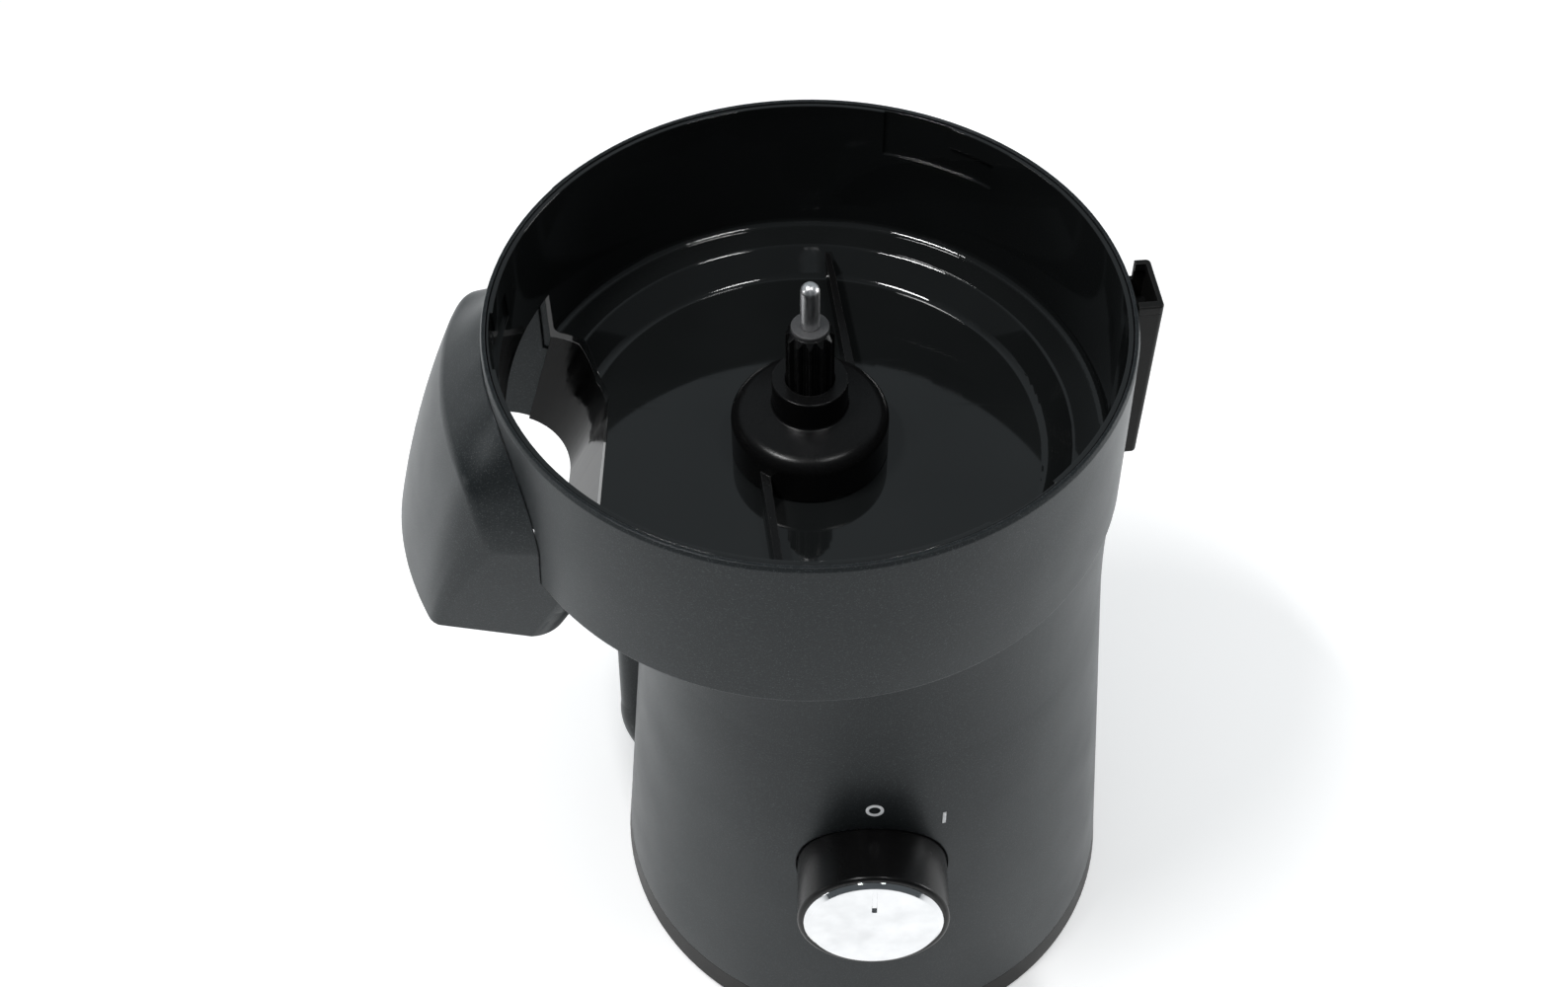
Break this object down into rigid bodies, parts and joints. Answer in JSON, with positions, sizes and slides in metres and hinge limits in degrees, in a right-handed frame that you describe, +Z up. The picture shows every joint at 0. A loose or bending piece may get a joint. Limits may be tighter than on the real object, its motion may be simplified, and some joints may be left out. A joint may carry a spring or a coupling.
{
  "type": "centrifugal juicer base",
  "caption": "Motor base of a centrifugal juicer: open bowl with a sweeper on a splined drive, side chute with hood, lid interlock and rotary switch.",
  "frame": {"origin": "where the drive spindle's axis meets the table, on the plane of the feet", "axes": "+Z up along the spindle, +X towards the lid interlock, -X towards the discharge chute, -Y towards the front, where the switch knob is"},
  "size_m": [0.2613, 0.213, 0.315],
  "materials": {
    "shell_graphite": "fine satin texture, dark graphite",
    "bowl_black": "mirror gloss black",
    "black_satin": "satin black",
    "lock_grey": "satin warm dark grey",
    "knob_chrome": "polished plated",
    "mark_white": "satin print",
    "steel": "turned, fine",
    "laminations": "stacked sheet",
    "copper": "enamelled wire",
    "aluminium": "die cast",
    "belt_rubber": "matt",
    "rubber": "matt",
    "carbon": "pressed graphite",
    "brass": "stamped",
    "inner_black": "as moulded",
    "board_green": "solder resist",
    "part_blue": "as moulded",
    "washer_grey": "satin"
  },
  "bodies": {
    "base": {"bowl_liner": "bowl_black", "bowl_shell": "shell_graphite", "chute_hood": "shell_graphite", "chute_ramp": "bowl_black", "bowl_screws": "steel", "shaft_seal": "rubber", "upper_bearing": "steel", "lower_bearing": "steel", "bearing_housing": "aluminium", "drive_belt": "belt_rubber", "stator_core": "laminations", "field_coils": "copper", "carbon_brushes": "carbon", "brush_holders": "brass", "motor_bearings": "steel", "motor_top_bracket": "aluminium", "motor_bottom_bracket": "aluminium", "motor_bolts": "steel", "vibration_mounts": "rubber", "motor_deck": "inner_black", "front_housing": "shell_graphite", "rear_cover": "shell_graphite", "housing_screws": "steel", "base_ring": "lock_grey", "base_plate": "inner_black", "feet": "rubber", "foot_screws": "steel", "cord_bushing": "rubber", "rotary_switch": "inner_black", "switch_marks": "mark_white", "control_board": "board_green", "board_parts": "part_blue", "board_frame": "inner_black", "interlock_tower": "lock_grey", "interlock_cover": "lock_grey", "interlock_spring": "steel", "interlock_switch": "inner_black"},
    "spindle": {"spindle": "steel", "drive_coupling": "black_satin", "retaining_washer": "washer_grey", "driven_pulley": "aluminium"},
    "sweeper": {"sweeper": "black_satin"},
    "rotor": {"motor_shaft": "steel", "armature_core": "laminations", "armature_windings": "copper", "commutator": "copper", "motor_fan": "inner_black", "motor_pulley": "aluminium"},
    "knob": {"knob": "black_satin", "knob_cap": "knob_chrome", "switch_shaft": "steel"},
    "interlock_rod": {"interlock_rod": "black_satin"}
  },
  "joints": [
    {"name": "motor_spin", "type": "hinge", "parent": "base", "child": "rotor", "pos_m": [0.05, 0, 0.1], "axis": [0, 0, 1], "continuous": true},
    {"name": "spindle_spin", "type": "hinge", "parent": "base", "child": "spindle", "pos_m": [0, 0, 0.2], "axis": [0, 0, 1], "continuous": true},
    {"name": "sweeper_lift", "type": "slide", "parent": "spindle", "child": "sweeper", "axis": [0, 0, 1], "range_m": [0, 0.075]},
    {"name": "knob_turn", "type": "hinge", "parent": "base", "child": "knob", "pos_m": [0.022, -0.08785, 0.1115], "axis": [0, 0.995, -0.0995], "range_deg": [0, 40]},
    {"name": "interlock_press", "type": "slide", "parent": "base", "child": "interlock_rod", "axis": [0, 0, -1], "range_m": [0, 0.003], "stiffness_N_per_m": 400, "springref_m": -0.0025, "deforming": ["interlock_spring"]}
  ],
  "couplings": [
    {"joint": "spindle_spin", "follows": "motor_spin", "ratio": 0.3}
  ]
}
